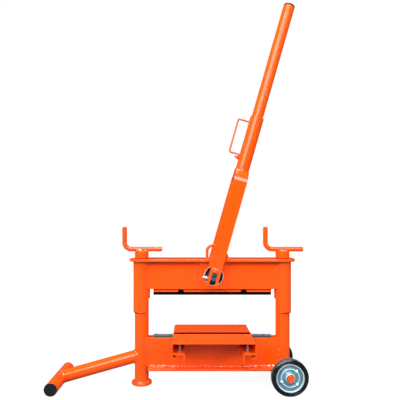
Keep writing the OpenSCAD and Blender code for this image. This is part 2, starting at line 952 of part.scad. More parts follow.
module rim(side) {
  w = wheel_w / 2;
  r = axle_d / 2;
  steps = [for (s = rim_steps) [r + s[0], w - s[1]]];
  color(zinc) machine() wheel_place(side)
    wheel_ring(concat([[r + run_gap, w], [r + rim_hub, w]], steps, [[rim_d / 2, w - rim_lip]]));
}

module front_tyre() tyre(-1);
module front_rim() rim(-1);
module rear_tyre() tyre(1);
module rear_rim() rim(1);

left_post();
right_post();
spindle_nuts();
left_foot();
lower_front_plate();
lower_rear_plate();
lower_flange();
lower_blade();
outrigger_arm();
outrigger_crossbar();
crossbar_plugs();
axle_tube();
axle();
axle_washers();
axle_caps();
table_brackets();
left_sleeve();
right_sleeve();
top_flange();
beam_front_plate();
beam_rear_plate();
pivot_plate_front();
pivot_plate_rear();
pivot_bushes();
grease_nipples();
lifting_loop();
spring_seats();
left_crank_bar();
left_crank_hub();
left_spindle();
left_collar();
right_crank_bar();
right_crank_hub();
right_spindle();
right_collar();
fork_leg_front();
fork_leg_rear();
fork_prongs();
cam_shaft();
lever_socket();
brush_holder();
clamp_screw();
lever_tube();
lever_cap();
blade_carrier();
upper_blade();
upper_blade_screws();
lift_studs();
return_springs();
table_front();
table_front_studs();
table_front_springs();
table_rear();
table_rear_studs();
table_rear_springs();
front_tyre();
front_rim();
rear_tyre();
rear_rim();
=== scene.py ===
import json
import math
import bmesh
import bpy
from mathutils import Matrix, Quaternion, Vector, noise


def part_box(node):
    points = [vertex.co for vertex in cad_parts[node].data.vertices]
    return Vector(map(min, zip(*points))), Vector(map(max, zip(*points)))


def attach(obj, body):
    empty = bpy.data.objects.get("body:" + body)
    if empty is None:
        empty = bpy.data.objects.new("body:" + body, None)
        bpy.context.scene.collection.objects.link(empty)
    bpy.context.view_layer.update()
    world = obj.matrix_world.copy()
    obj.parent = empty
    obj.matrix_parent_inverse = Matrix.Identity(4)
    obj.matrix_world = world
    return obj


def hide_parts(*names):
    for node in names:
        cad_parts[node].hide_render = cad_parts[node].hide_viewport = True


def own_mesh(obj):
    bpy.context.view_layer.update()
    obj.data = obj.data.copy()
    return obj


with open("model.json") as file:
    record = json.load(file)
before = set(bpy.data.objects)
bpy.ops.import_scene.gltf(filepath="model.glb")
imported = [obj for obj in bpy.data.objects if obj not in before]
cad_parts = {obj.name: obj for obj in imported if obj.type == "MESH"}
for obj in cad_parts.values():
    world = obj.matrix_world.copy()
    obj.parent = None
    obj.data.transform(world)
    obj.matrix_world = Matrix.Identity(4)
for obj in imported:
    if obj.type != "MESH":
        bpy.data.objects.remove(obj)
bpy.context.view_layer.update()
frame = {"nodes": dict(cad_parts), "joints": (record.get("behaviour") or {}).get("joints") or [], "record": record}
nodes = frame["nodes"]
joints = {j["name"]: j for j in frame["joints"]}
scene = bpy.context.scene
print("frame loaded:", len(nodes), "nodes")

# Camera, level and square to the blades, as the photograph was taken

photoView = {
    "place": (0.040975, -1.600, 0.603),
    "framePx": 400.0,
    "focalPx": 435.4,
    "vanishPx": (190.0, 219.0),
    "sensor": 36.0,
}


def makeCamera(view):
    half = view["framePx"] / 2
    lens = bpy.data.cameras.new("photoCamera")
    lens.sensor_width = view["sensor"]
    lens.lens = view["sensor"] * view["focalPx"] / view["framePx"]
    lens.shift_x = (half - view["vanishPx"][0]) / view["framePx"]
    lens.shift_y = (view["vanishPx"][1] - half) / view["framePx"]
    camera = bpy.data.objects.new("photoCamera", lens)
    camera.location = view["place"]
    camera.rotation_euler = (math.radians(90), 0, 0)
    scene.collection.objects.link(camera)
    scene.camera = camera


makeCamera(photoView)

# Shader groups that the finishes share


def newGroup(name, inputs, outputs):
    group = bpy.data.node_groups.new(name, "ShaderNodeTree")
    for label, kind, value in inputs:
        socket = group.interface.new_socket(name=label, in_out="INPUT", socket_type=kind)
        socket.default_value = value
    for label, kind in outputs:
        group.interface.new_socket(name=label, in_out="OUTPUT", socket_type=kind)
    into = group.nodes.new("NodeGroupInput")
    out = group.nodes.new("NodeGroupOutput")
    return group, into, out


def addNode(tree, kind, **settings):
    node = tree.nodes.new(kind)
    for key, value in settings.items():
        setattr(node, key, value)
    return node


def mathNode(tree, operation, first, second):
    node = addNode(tree, "ShaderNodeMath", operation=operation)
    for socket, value in zip(node.inputs, (first, second)):
        tree.links.new(value, socket)
    return node.outputs[0]


def noiseNode(tree, vector, scale, detail, rough):
    node = addNode(tree, "ShaderNodeTexNoise")
    node.inputs["Detail"].default_value = detail
    node.inputs["Roughness"].default_value = rough
    tree.links.new(vector, node.inputs["Vector"])
    if isinstance(scale, (int, float)):
        node.inputs["Scale"].default_value = scale
    else:
        tree.links.new(scale, node.inputs["Scale"])
    return node.outputs["Fac"]


def rangeNode(tree, value, fromLow, fromHigh, toLow=0.0, toHigh=1.0):
    node = addNode(tree, "ShaderNodeMapRange", clamp=True)
    limits = (fromLow, fromHigh, toLow, toHigh)
    for label, limit in zip(("From Min", "From Max", "To Min", "To Max"), limits):
        node.inputs[label].default_value = limit
    tree.links.new(value, node.inputs["Value"])
    return node.outputs["Result"]


def paintSkinGroup():
    group, into, out = newGroup(
        "paintSkin",
        [("Peel Scale", "NodeSocketFloat", 420.0), ("Cloud Scale", "NodeSocketFloat", 7.0)],
        [("Height", "NodeSocketFloat"), ("Cloud", "NodeSocketFloat"), ("Sheen", "NodeSocketFloat")],
    )
    place = addNode(group, "ShaderNodeTexCoord").outputs["Object"]
    peel = noiseNode(group, place, into.outputs["Peel Scale"], 2.0, 0.45)
    cloud = noiseNode(group, place, into.outputs["Cloud Scale"], 4.0, 0.6)
    fine = noiseNode(group, place, 60.0, 3.0, 0.5)
    group.links.new(peel, out.inputs["Height"])
    group.links.new(rangeNode(group, cloud, 0.3, 0.7), out.inputs["Cloud"])
    group.links.new(rangeNode(group, fine, 0.35, 0.65), out.inputs["Sheen"])
    return group


def edgeWearGroup():
    group, into, out = newGroup(
        "edgeWear",
        [("Radius", "NodeSocketFloat", 0.002), ("Break Scale", "NodeSocketFloat", 90.0)],
        [("Edge", "NodeSocketFloat"), ("Chips", "NodeSocketFloat")],
    )
    place = addNode(group, "ShaderNodeTexCoord").outputs["Object"]
    bevel = addNode(group, "ShaderNodeBevel", samples=4)
    group.links.new(into.outputs["Radius"], bevel.inputs["Radius"])
    facing = addNode(group, "ShaderNodeVectorMath", operation="DOT_PRODUCT")
    group.links.new(bevel.outputs["Normal"], facing.inputs[0])
    group.links.new(addNode(group, "ShaderNodeNewGeometry").outputs["Normal"], facing.inputs[1])
    edge = rangeNode(group, facing.outputs["Value"], 0.995, 0.86)
    broken = rangeNode(group, noiseNode(group, place, into.outputs["Break Scale"], 4.0, 0.65), 0.56, 0.68)
    group.links.new(edge, out.inputs["Edge"])
    group.links.new(mathNode(group, "MULTIPLY", edge, broken), out.inputs["Chips"])
    return group


def dustGroup():
    group, into, out = newGroup(
        "siteDust",
        [("Amount", "NodeSocketFloat", 0.2), ("Scale", "NodeSocketFloat", 24.0)],
        [("Dust", "NodeSocketFloat")],
    )
    place = addNode(group, "ShaderNodeTexCoord").outputs["Object"]
    split = addNode(group, "ShaderNodeSeparateXYZ")
    group.links.new(addNode(group, "ShaderNodeNewGeometry").outputs["Normal"], split.inputs[0])
    upward = rangeNode(group, split.outputs["Z"], -0.1, 0.9, 0.15, 1.0)
    patch = rangeNode(group, noiseNode(group, place, into.outputs["Scale"], 6.0, 0.7), 0.42, 0.72)
    dust = mathNode(group, "MULTIPLY", mathNode(group, "MULTIPLY", upward, patch), into.outputs["Amount"])
    group.links.new(dust, out.inputs["Dust"])
    return group


def rolledSteelGroup():
    group, into, out = newGroup(
        "rolledSteel",
        [("Stretch", "NodeSocketFloat", 14.0), ("Scale", "NodeSocketFloat", 220.0)],
        [("Grain", "NodeSocketFloat"), ("Scale Patch", "NodeSocketFloat")],
    )
    place = addNode(group, "ShaderNodeTexCoord").outputs["Object"]
    split = addNode(group, "ShaderNodeSeparateXYZ")
    group.links.new(place, split.inputs[0])
    joinUp = addNode(group, "ShaderNodeCombineXYZ")
    drawn = mathNode(group, "DIVIDE", split.outputs["X"], into.outputs["Stretch"])
    group.links.new(drawn, joinUp.inputs["X"])
    group.links.new(split.outputs["Y"], joinUp.inputs["Y"])
    group.links.new(split.outputs["Z"], joinUp.inputs["Z"])
    grain = noiseNode(group, joinUp.outputs[0], into.outputs["Scale"], 4.0, 0.7)
    patch = noiseNode(group, place, 55.0, 6.0, 0.72)
    group.links.new(rangeNode(group, grain, 0.25, 0.75), out.inputs["Grain"])
    group.links.new(rangeNode(group, patch, 0.42, 0.60), out.inputs["Scale Patch"])
    return group


paintSkin = paintSkinGroup()
edgeWear = edgeWearGroup()
siteDust = dustGroup()
rolledSteel = rolledSteelGroup()
print("shader groups made")

# Finishes


def startFinish(name):
    material = bpy.data.materials.new(name)
    material.use_nodes = True
    tree = material.node_tree
    tree.nodes.clear()
    out = addNode(tree, "ShaderNodeOutputMaterial")
    shader = addNode(tree, "ShaderNodeBsdfPrincipled")
    tree.links.new(shader.outputs["BSDF"], out.inputs["Surface"])
    return material, tree, shader


def useGroup(tree, group, **values):
    node = addNode(tree, "ShaderNodeGroup", node_tree=group)
    for key, value in values.items():
        node.inputs[key.replace("_", " ")].default_value = value
    return node.outputs


def mixTones(tree, amount, first, second):
    node = addNode(tree, "ShaderNodeMix", data_type="RGBA", clamp_factor=True)
    factor = [s for s in node.inputs if s.type == "VALUE" and s.enabled][0]
    tree.links.new(amount, factor)
    colours = [s for s in node.inputs if s.type == "RGBA"]
    for socket, value in zip(colours, (first, second)):
        if isinstance(value, tuple):
            socket.default_value = (*value, 1.0)
        else:
            tree.links.new(value, socket)
    return [s for s in node.outputs if s.type == "RGBA"][0]


def addBump(tree, shader, height, strength, distance):
    bump = addNode(tree, "ShaderNodeBump")
    bump.inputs["Strength"].default_value = strength
    bump.inputs["Distance"].default_value = distance
    tree.links.new(height, bump.inputs["Height"])
    tree.links.new(bump.outputs["Normal"], shader.inputs["Normal"])


weldPaint = {
    "tone": (0.93, 0.088, 0.0034),
    "toneDeep": (0.90, 0.070, 0.0026),
    "edgeTone": (0.95, 0.110, 0.008),
    "dustTone": (0.90, 0.20, 0.07),
    "roughness": (0.12, 0.20),
    "specular": 1.0,
    "coat": 1.0,
    "coatIor": 2.1,
    "coatRoughness": 0.08,
    "peelScale": 300.0,
    "peel": 0.00006,
    "dust": 0.02,
}
orangePaint = {
    "tone": (0.93, 0.086, 0.0028),
    "toneDeep": (0.91, 0.080, 0.0025),
    "edgeTone": (0.95, 0.095, 0.005),
    "dustTone": (0.90, 0.16, 0.05),
    "roughness": (0.13, 0.19),
    "specular": 0.55,
    "coat": 0.0,
    "coatIor": 1.5,
    "coatRoughness": 0.12,
    "peelScale": 150.0,
    "peel": 0.00003,
    "dust": 0.03,
}
glossPaint = {**orangePaint, "coat": 1.0, "coatRoughness": 0.10}   # fork legs: their bends catch the light
paintedShadowPaint = {   # dark red of painted shadow, for the lines where the crosshead slides
    **orangePaint,
    "tone": (0.25, 0.016, 0.004),
    "toneDeep": (0.13, 0.008, 0.003),
    "edgeTone": (0.25, 0.016, 0.004),
}
shadedWirePaint = {   # brush holder: paint darkened as painted shade on the thin wire
    **orangePaint,
    "tone": (0.62, 0.075, 0.012),
    "toneDeep": (0.48, 0.055, 0.010),
    "edgeTone": (0.64, 0.08, 0.012),
}
paintDetail = {"cloud": 6.0, "edge": 0.0016, "breaks": 70.0, "dust": 22.0, "bump": 0.5}   # scales per metre
steelDetail = {"edge": 0.0010, "breaks": 120.0, "bump": 0.6}
softDetail = {"cloud": 30.0, "dust": 40.0, "bump": 0.5}


def makePaint(name, paint):
    material, tree, shader = startFinish(name)
    skin = useGroup(tree, paintSkin, Peel_Scale=paint["peelScale"], Cloud_Scale=paintDetail["cloud"])
    wear = useGroup(tree, edgeWear, Radius=paintDetail["edge"], Break_Scale=paintDetail["breaks"])
    dust = useGroup(tree, siteDust, Amount=paint["dust"], Scale=paintDetail["dust"])
    body = mixTones(tree, skin["Cloud"], paint["toneDeep"], paint["tone"])
    edged = mixTones(tree, wear["Edge"], body, paint["edgeTone"])
    dusted = mixTones(tree, dust["Dust"], edged, paint["dustTone"])
    tree.links.new(dusted, shader.inputs["Base Color"])
    rough = rangeNode(tree, skin["Sheen"], 0.0, 1.0, *paint["roughness"])
    tree.links.new(rough, shader.inputs["Roughness"])
    shader.inputs["Specular IOR Level"].default_value = paint["specular"]
    shader.inputs["Coat Weight"].default_value = paint["coat"]
    shader.inputs["Coat IOR"].default_value = paint["coatIor"]
    shader.inputs["Coat Roughness"].default_value = paint["coatRoughness"]
    addBump(tree, shader, skin["Height"], paintDetail["bump"], paint["peel"])
    return material


steelFinishes = {
    "rawSteel": {
        "tone": (0.130, 0.155, 0.200), "toneDark": (0.004, 0.006, 0.010), "metal": 0.35, "specular": 0.3,
        "roughness": (0.48, 0.70), "grainScale": 170.0, "stretch": 1.8, "bump": 0.0006,
    },
    "machinedSteel": {
        "tone": (0.46, 0.47, 0.49), "toneDark": (0.28, 0.29, 0.31), "metal": 1.0, "specular": 0.5,
        "roughness": (0.22, 0.40), "grainScale": 380.0, "stretch": 3.0, "bump": 0.00006,
    },
    "gunSteel": {
        "tone": (0.105, 0.125, 0.160), "toneDark": (0.022, 0.025, 0.030), "metal": 0.5, "specular": 0.5,
        "roughness": (0.34, 0.52), "grainScale": 260.0, "stretch": 2.0, "bump": 0.00008,
    },
    # near black: painted shade on recesses, gaps, the lower blade's foot and the ring round the axle cap
    "paintedShadeBlack": {
        "tone": (0.010, 0.011, 0.013), "toneDark": (0.003, 0.003, 0.004), "metal": 0.0, "specular": 0.35,
        "roughness": (0.25, 0.45), "grainScale": 140.0, "stretch": 1.0, "bump": 0.0003,
    },
    # black of the upper blade, and painted shade on the slot strips and on the ridge under the table
    "blackSteelAndShade": {
        "tone": (0.0025, 0.0022, 0.0022), "toneDark": (0.001, 0.001, 0.001), "metal": 0.0, "specular": 0.03,
        "roughness": (0.50, 0.66), "grainScale": 180.0, "stretch": 12.0, "bump": 0.0001,
    },
    "springSteel": {
        "tone": (0.07, 0.07, 0.08), "toneDark": (0.025, 0.025, 0.03), "metal": 0.8, "specular": 0.5,
        "roughness": (0.30, 0.48), "grainScale": 300.0, "stretch": 1.0, "bump": 0.00004,
    },
    "zincPlate": {
        "tone": (0.40, 0.44, 0.47), "toneDark": (0.30, 0.34, 0.37), "metal": 0.6, "specular": 0.5,
        "roughness": (0.22, 0.34), "grainScale": 90.0, "stretch": 1.0, "bump": 0.000004,
    },
    # zinc lightened nearly to white: painted highlight on the grease nipples and the bush lips
    "zincPaintedHighlight": {
        "tone": (0.80, 0.82, 0.84), "toneDark": (0.66, 0.69, 0.72), "metal": 0.15, "specular": 0.6,
        "roughness": (0.14, 0.22), "grainScale": 90.0, "stretch": 1.0, "bump": 0.000004,
    },
    "rimZinc": {
        "tone": (0.185, 0.355, 0.435), "toneDark": (0.055, 0.165, 0.240), "metal": 0.35, "specular": 0.6,
        "roughness": (0.14, 0.22), "grainScale": 12.0, "stretch": 1.0, "bump": 0.000001,
    },
    # white: painted highlight on the pressed tabs
    "rimTabPaintedHighlight": {
        "tone": (0.92, 0.95, 0.96), "toneDark": (0.80, 0.88, 0.90), "metal": 0.0, "specular": 0.8,
        "roughness": (0.12, 0.20), "grainScale": 12.0, "stretch": 1.0, "bump": 0.000001,
    },
    # lightened: painted highlight on the rim's rings
    "rimPaintedHighlight": {
        "tone": (0.60, 0.78, 0.84), "toneDark": (0.44, 0.64, 0.72), "metal": 0.35, "specular": 0.6,
        "roughness": (0.28, 0.40), "grainScale": 12.0, "stretch": 1.0, "bump": 0.000001,
    },
}


def makeSteel(name, steel):
    material, tree, shader = startFinish(name)
    rolled = useGroup(tree, rolledSteel, Stretch=steel["stretch"], Scale=steel["grainScale"])
    wear = useGroup(tree, edgeWear, Radius=steelDetail["edge"], Break_Scale=steelDetail["breaks"])
    patched = mixTones(tree, rolled["Scale Patch"], steel["toneDark"], steel["tone"])
    grained = mixTones(tree, rolled["Grain"], patched, steel["tone"])
    edged = mixTones(tree, wear["Chips"], grained, steel["tone"])
    tree.links.new(edged, shader.inputs["Base Color"])
    rough = rangeNode(tree, rolled["Grain"], 0.0, 1.0, *steel["roughness"])
    tree.links.new(rough, shader.inputs["Roughness"])
    shader.inputs["Metallic"].default_value = steel["metal"]
    shader.inputs["Specular IOR Level"].default_value = steel["specular"]
    addBump(tree, shader, rolled["Grain"], steelDetail["bump"], steel["bump"])
    return material


softFinishes = {
    "tyreRubber": {
        "tone": (0.0030, 0.0041, 0.0064), "dustTone": (0.09, 0.11, 0.13), "dust": 0.05,
        "roughness": (0.16, 0.24), "grain": 500.0, "bump": 0.00002, "specular": 0.7,
    },
    "tyreTread": {
        "tone": (0.034, 0.038, 0.043), "dustTone": (0.20, 0.21, 0.22), "dust": 0.45,
        "roughness": (0.42, 0.58), "grain": 420.0, "bump": 0.00005, "specular": 0.5,
        "paintedSheenTone": (0.62, 0.64, 0.67), "paintedSheenFrom": (0.72, 0.97),   # painted sheen: lighter where the tread is seen edge on
    },
    "blackPlastic": {
        "tone": (0.007, 0.009, 0.013), "dustTone": (0.06, 0.06, 0.07), "dust": 0.08,
        "roughness": (0.38, 0.50), "grain": 1400.0, "bump": 0.00004, "specular": 0.35,
    },
}


def makeSoft(name, soft):
    material, tree, shader = startFinish(name)
    skin = useGroup(tree, paintSkin, Peel_Scale=soft["grain"], Cloud_Scale=softDetail["cloud"])
    dust = useGroup(tree, siteDust, Amount=soft["dust"], Scale=softDetail["dust"])
    dusted = mixTones(tree, dust["Dust"], soft["tone"], soft["dustTone"])
    if "paintedSheenTone" in soft:
        # painted sheen: base colour lighter towards grazing view
        paintedSheenMask = addNode(tree, "ShaderNodeLayerWeight").outputs["Facing"]
        dusted = mixTones(tree, rangeNode(tree, paintedSheenMask, *soft["paintedSheenFrom"]), dusted, soft["paintedSheenTone"])
    tree.links.new(dusted, shader.inputs["Base Color"])
    rough = rangeNode(tree, skin["Cloud"], 0.0, 1.0, *soft["roughness"])
    tree.links.new(rough, shader.inputs["Roughness"])
    shader.inputs["Specular IOR Level"].default_value = soft["specular"]
    addBump(tree, shader, skin["Height"], softDetail["bump"], soft["bump"])
    return material


paintFinishes = {
    "orangePaint": orangePaint, "glossPaint": glossPaint, "shadedWirePaint": shadedWirePaint,
    "paintedShadowPaint": paintedShadowPaint, "weldPaint": weldPaint,
}
finishes = {name: makePaint(name, paint) for name, paint in paintFinishes.items()}
finishes.update({name: makeSteel(name, steel) for name, steel in steelFinishes.items()})
finishes.update({name: makeSoft(name, soft) for name, soft in softFinishes.items()})
slotFinish = {
    "orange_paint": "orangePaint", "machined_steel": "machinedSteel", "raw_steel": "rawSteel",
    "black_steel": "blackSteelAndShade", "zinc_plate": "zincPlate", "spring_steel": "springSteel",
    "black_plastic": "blackPlastic", "tyre_rubber": "tyreRubber",
}
print("finishes made:", len(finishes))

# Mesh tools

creaseAngle = math.radians(38)


def makePiece(name, mesh, slot, body, covers=(), coats=()):
    bmesh.ops.recalc_face_normals(mesh, faces=mesh.faces)
    for face in mesh.faces:
        face.smooth = True
    for edge in mesh.edges:
        if len(edge.link_faces) == 2 and edge.calc_face_angle() > creaseAngle:
            edge.smooth = False
    data = bpy.data.meshes.new(name)
    mesh.to_mesh(data)
    mesh.free()
    for finish in coats or (slotFinish[slot],):
        data.materials.append(finishes[finish])
    piece = bpy.data.objects.new(name, data)
    scene.collection.objects.link(piece)
    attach(piece, body)
    if covers:
        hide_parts(*covers)
    return piece


def joinRings(mesh, rings, closed=False):
    made = []
    pairs = list(zip(rings, rings[1:]))
    if closed:
        pairs.append((rings[-1], rings[0]))
    for low, high in pairs:
        count = len(low)
        for k in range(count):
            made.append(mesh.faces.new((low[k], low[(k + 1) % count], high[(k + 1) % count], high[k])))
    if not closed:
        made.append(mesh.faces.new(rings[0][::-1]))
        made.append(mesh.faces.new(rings[-1]))
    return made


def addSweep(mesh, path, radii, sides=10, closed=False):
    rings = []
    across = None
    for i, point in enumerate(path):
        before = path[i - 1] if i or closed else point
        after = path[(i + 1) % len(path)] if closed or i + 1 < len(path) else point
        ahead = (after - before).normalized()
        across = ahead.orthogonal() if across is None else across - ahead * across.dot(ahead)
        across.normalize()
        ring = ringPath(point, radii[i], across, ahead.cross(across), sides)
        rings.append([mesh.verts.new(corner) for corner in ring])
    joinRings(mesh, rings, closed)


def addLathe(mesh, profile, centre, out, segments):
    rings = []
    for radius, along in profile:
        ring = ringPath(centre + along * out, radius, xWay, xWay.cross(out), segments)
        rings.append([mesh.verts.new(corner) for corner in ring])
    return joinRings(mesh, rings, closed=True)


def cutCorners(points, rounds):
    for _ in range(rounds):
        cut = [points[0]]
        for (ax, ay), (bx, by) in zip(points, points[1:]):
            cut.append((0.75 * ax + 0.25 * bx, 0.75 * ay + 0.25 * by))
            cut.append((0.25 * ax + 0.75 * bx, 0.25 * ay + 0.75 * by))
        points = cut + [points[-1]]
    return points


def spread(path, count, closed=False):
    points = path + [path[0]] if closed else path
    lengths = [(b - a).length for a, b in zip(points, points[1:])]
    total = sum(lengths)
    steps = count if closed else count - 1
    placed = []
    for i in range(count):
        left = total * i / steps
        k = 0
        while k < len(lengths) - 1 and left > lengths[k]:
            left -= lengths[k]
            k += 1
        placed.append(points[k].lerp(points[k + 1], min(1.0, left / lengths[k])))
    return placed, total


def chord(radius, offset):
    return math.sqrt(radius * radius - offset * offset)


def middle(node):
    low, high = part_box(node)
    return (low + high) / 2


def halfSize(node, way):
    low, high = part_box(node)
    return (high - low).dot(way) / 2


def ringPath(centre, radius, first, second, points=48):
    angles = [2 * math.pi * k / points for k in range(points)]
    return [centre + radius * (math.cos(a) * first + math.sin(a) * second) for a in angles]


def flatten(way, axis):
    return way - axis * way.dot(axis)


def pipeSeam(start, ahead, radius, other, otherAxis, otherRadius, points=48):
    first = otherAxis.cross(ahead).normalized()  # where one pipe runs into another
    second = ahead.cross(first)
    run = flatten(ahead, otherAxis)
    seam = []
    for foot in ringPath(start, radius, first, second, points):
        gap = flatten(foot - other, otherAxis)
        half = run.dot(gap)
        root = max(0.0, half * half - run.dot(run) * (gap.dot(gap) - otherRadius ** 2))
        seam.append(foot + ahead * ((-half - math.sqrt(root)) / run.dot(run)))
    return seam


xWay = Vector((1, 0, 0))
yWay = Vector((0, 1, 0))
zWay = Vector((0, 0, 1))

# CAD nodes: finish, softened edges

edgeRounds = {  # metres, by node; the rest take the default
    "default": 0.0008,
    "top_flange": 0.0044,
    "left_foot": 0.0024,
    "lower_flange": 0.0016,
    "table_front": 0.0005,
    "table_rear": 0.0005,
    "left_crank_bar": 0.0040,
    "right_crank_bar": 0.0040,
    "left_crank_hub": 0.0012,
    "right_crank_hub": 0.0012,
    "axle_caps": 0.0018,
    "crossbar_plugs": 0.0013,
    "lever_cap": 0.0016,
    "fork_leg_front": 0.0014,
    "fork_leg_rear": 0.0014,
    "grease_nipples": 0.0006,
}
edgeLook = {   # angles in degrees
    "weldGap": 0.00002, "flatWithin": 0.6, "softFrom": 32, "segments": 3, "shade": 80,
}
nodeFinish = {   # nodes that differ from their slot's finish
    "cam_shaft": "gunSteel",
    "grease_nipples": "zincPaintedHighlight",
    "fork_leg_front": "glossPaint",
    "fork_leg_rear": "glossPaint",
    "brush_holder": "shadedWirePaint",
    "spindle_nuts": "orangePaint",   # their flanges are painted over with the posts
}


def dressNodes(record):
    slots = {part["node"]: part["material_slot"] for part in record["subparts"]}
    for name, piece in nodes.items():
        piece.data.materials.clear()
        piece.data.materials.append(finishes[nodeFinish.get(name, slotFinish[slots[name]])])
        weld = piece.modifiers.new("weldSeams", "WELD")
        weld.merge_threshold = edgeLook["weldGap"]
        flats = piece.modifiers.new("wholeFaces", "DECIMATE")
        flats.decimate_type = "DISSOLVE"
        flats.angle_limit = math.radians(edgeLook["flatWithin"])
        bevel = piece.modifiers.new("softEdge", "BEVEL")
        bevel.width = edgeRounds.get(name, edgeRounds["default"])
        bevel.segments = edgeLook["segments"]
        bevel.limit_method = "ANGLE"
        bevel.angle_limit = math.radians(edgeLook["softFrom"])
        bevel.use_clamp_overlap = True
        shade = piece.modifiers.new("evenShade", "WEIGHTED_NORMAL")
        shade.keep_sharp = False
        shade.weight = edgeLook["shade"]


dressNodes(frame["record"])
print("nodes dressed")

# Weld beads

weldLook = {
    "pitch": 0.0080, "steps": 6, "sides": 10, "ripple": 0.32, "wander": 0.28, "lump": 0.60, "stray": 0.36,
    "drift": 1.1,   # how unevenly the ripples follow each other
    "seed": 5,   # fixes the stray, which Blender otherwise draws from the clock
    "driftScale": 38.0, "wanderScale": 170.0, "strayScale": 75.0,
    "lumpScale": 62.0, "lumpShift": (3.1, 7.7, 1.9),
    "ends": 0.3, "least": 0.3,   # share of the radius left at an open end, and anywhere
}
weldSize = {
    "flange": 0.0056, "post": 0.0026, "sleeve": 0.0022, "plate": 0.0022, "foot": 0.0038,
    "pipe": 0.0036, "crank": 0.0058, "prong": 0.0028, "socket": 0.0032, "wire": 0.0020, "loop": 0.0034,
}
bracketWidth = 0.0402
prongArch = {"top": 0.028, "half": 0.019, "face": 0.0572, "crown": 0.0035, "points": 13}
prongArches = ((-0.003, 1.0), (-0.0085, 0.72))   # rise from the prongs' top, share of the half width
socketRadius = 0.02475
holderFeet = (0.452, 0.577)
armLeft = 0.0047
wireRadius = 0.003
loopRadius = 0.005
loopFeet = (1.0, 1.09)   # left and right foot, in radii from the loop's ends
seamEase = 1.001   # keeps equal pipes apart where they meet
crankSeam = {"out": 0.0108, "short": 0.001, "up": 0.0026}

leverPivot = Vector(joints["lever_pull"]["pos_m"])
leverUp = Vector(joints["extension_slide"]["axis"]).normalized()
leverLeft = yWay.cross(leverUp) * -1
leftPost = middle("left_post")
rightPost = middle("right_post")
postRadius = halfSize("left_post", xWay)
sleeveRadius = halfSize("left_sleeve", xWay)
noise.seed_set(weldLook["seed"])


def addBead(mesh, path, radius, closed=False):
    _, total = spread(path, 2, closed)
    count = max(5, round(total / weldLook["pitch"] * weldLook["steps"]))
    points, _ = spread(path, count, closed)
    radii = []
    ends = weldLook["ends"]
    for i, point in enumerate(points):
        beat = i / weldLook["steps"] + weldLook["drift"] * noise.noise(point * weldLook["driftScale"])
        swell = abs(math.sin(math.pi * beat))
        fine = noise.noise(point * weldLook["wanderScale"])
        lump = noise.noise(point * weldLook["lumpScale"] + Vector(weldLook["lumpShift"]))
        size = 1 - weldLook["ripple"] * (1 - swell) + weldLook["wander"] * fine + weldLook["lump"] * lump
        if not closed:
            size *= ends + (1 - ends) * min(1.0, min(i, count - 1 - i) / weldLook["steps"])
        radii.append(radius * max(weldLook["least"], size))
    stray = radius * weldLook["stray"]
    placed = [p + stray * noise.noise_vector(p * weldLook["strayScale"]) for p in points]
    addSweep(mesh, placed, radii, weldLook["sides"], closed)


def lineBead(mesh, start, end, size):
    addBead(mesh, [Vector(start), Vector(end)], weldSize[size])


def baseBeads(mesh):
    low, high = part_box("lower_front_plate")
    flangeLow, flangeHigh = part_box("lower_flange")
    bracketLow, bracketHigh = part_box("table_brackets")
    web = -low.y
    for side in (-1, 1):
        y = side * web
        lineBead(mesh, (flangeLow.x, y, flangeHigh.z), (flangeHigh.x, y, flangeHigh.z), "flange")
        for post, way in ((leftPost, 1), (rightPost, -1)):
            x = post.x + way * chord(postRadius, web)
            lineBead(mesh, (x, y, low.z), (x, y, high.z), "post")
        for outer, way in ((bracketLow.x, 1), (bracketHigh.x, -1)):
            inner = outer + way * bracketWidth
            lineBead(mesh, (outer, y, bracketHigh.z), (inner, y, bracketHigh.z), "plate")
            lineBead(mesh, (inner, y, bracketLow.z), (inner, y, bracketHigh.z), "plate")
    foot = Vector((leftPost.x, leftPost.y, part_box("left_foot")[1].z))
    addBead(mesh, ringPath(foot, postRadius, xWay, yWay), weldSize["foot"], True)
    outriggerBeads(mesh)
    axleMiddle = middle("axle_tube")
    axleRadius = halfSize("axle_tube", zWay)
    for side in (-1, 1):
        outside = axleMiddle + yWay * side * 2 * postRadius
        seam = pipeSeam(outside, yWay * -side, axleRadius, rightPost, zWay, postRadius)
        addBead(mesh, seam, weldSize["post"], True)


def outriggerBeads(mesh):
    size = weldSize["pipe"]
    crossbar = middle("outrigger_crossbar")
    crossbar.y = 0.0
    radius = halfSize("outrigger_crossbar", zWay)
    arm = middle("outrigger_arm")
    ahead = (arm - crossbar).normalized()
    addBead(mesh, pipeSeam(arm, ahead, radius, leftPost, zWay, postRadius), size, True)
    toeSeam = pipeSeam(arm, -ahead, radius, crossbar, yWay, radius * seamEase)
    lifted = [Vector((p.x, p.y, max(p.z, 2 * size))) for p in toeSeam]   # stays above the floor
    addBead(mesh, lifted, size, True)


